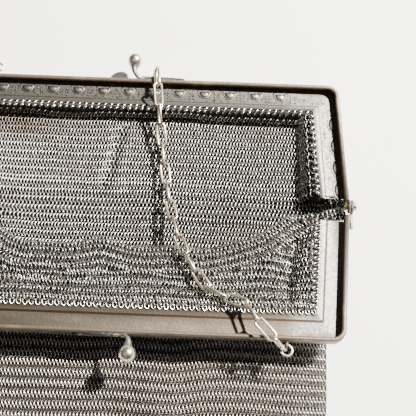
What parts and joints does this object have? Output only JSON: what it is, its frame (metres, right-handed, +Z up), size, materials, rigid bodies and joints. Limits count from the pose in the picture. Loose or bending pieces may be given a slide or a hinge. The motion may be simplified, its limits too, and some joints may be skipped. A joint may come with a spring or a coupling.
{
  "type": "metal mesh purse",
  "caption": "Ring-mesh purse lying open: hinged frame with ball clasps and an ornamented flange, flat mesh bag laced to it, and a long-link chain between its jump rings.",
  "frame": {"origin": "on the table, on the bag's flat underside, midway between the hinges and straight under their axis", "axes": "+X towards the hinge beside which the plain half's jump ring lies, +Y from the hinges towards the decorated half's bar, -Y towards the bag's foot, +Z up from the table"},
  "size_m": [0.1724, 0.1784, 0.0274],
  "materials": {
    "frame_silver": "worn silver-coloured metal, satin, tarnished brown in its corners and on the rolled rims",
    "chain_silver": "polished silver-coloured metal, lightly worn",
    "mail_silver": "silver-coloured ring mesh, bright on the rings and dark between them"
  },
  "bodies": {
    "root": {"decorated_frame": "frame_silver", "plain_frame": "frame_silver", "decorated_jump_ring": "chain_silver", "plain_jump_ring": "chain_silver", "mesh_bag": "mail_silver", "chain": "chain_silver", "right_hinge_pin": "chain_silver", "left_hinge_pin": "chain_silver"}
  },
  "joints": []
}
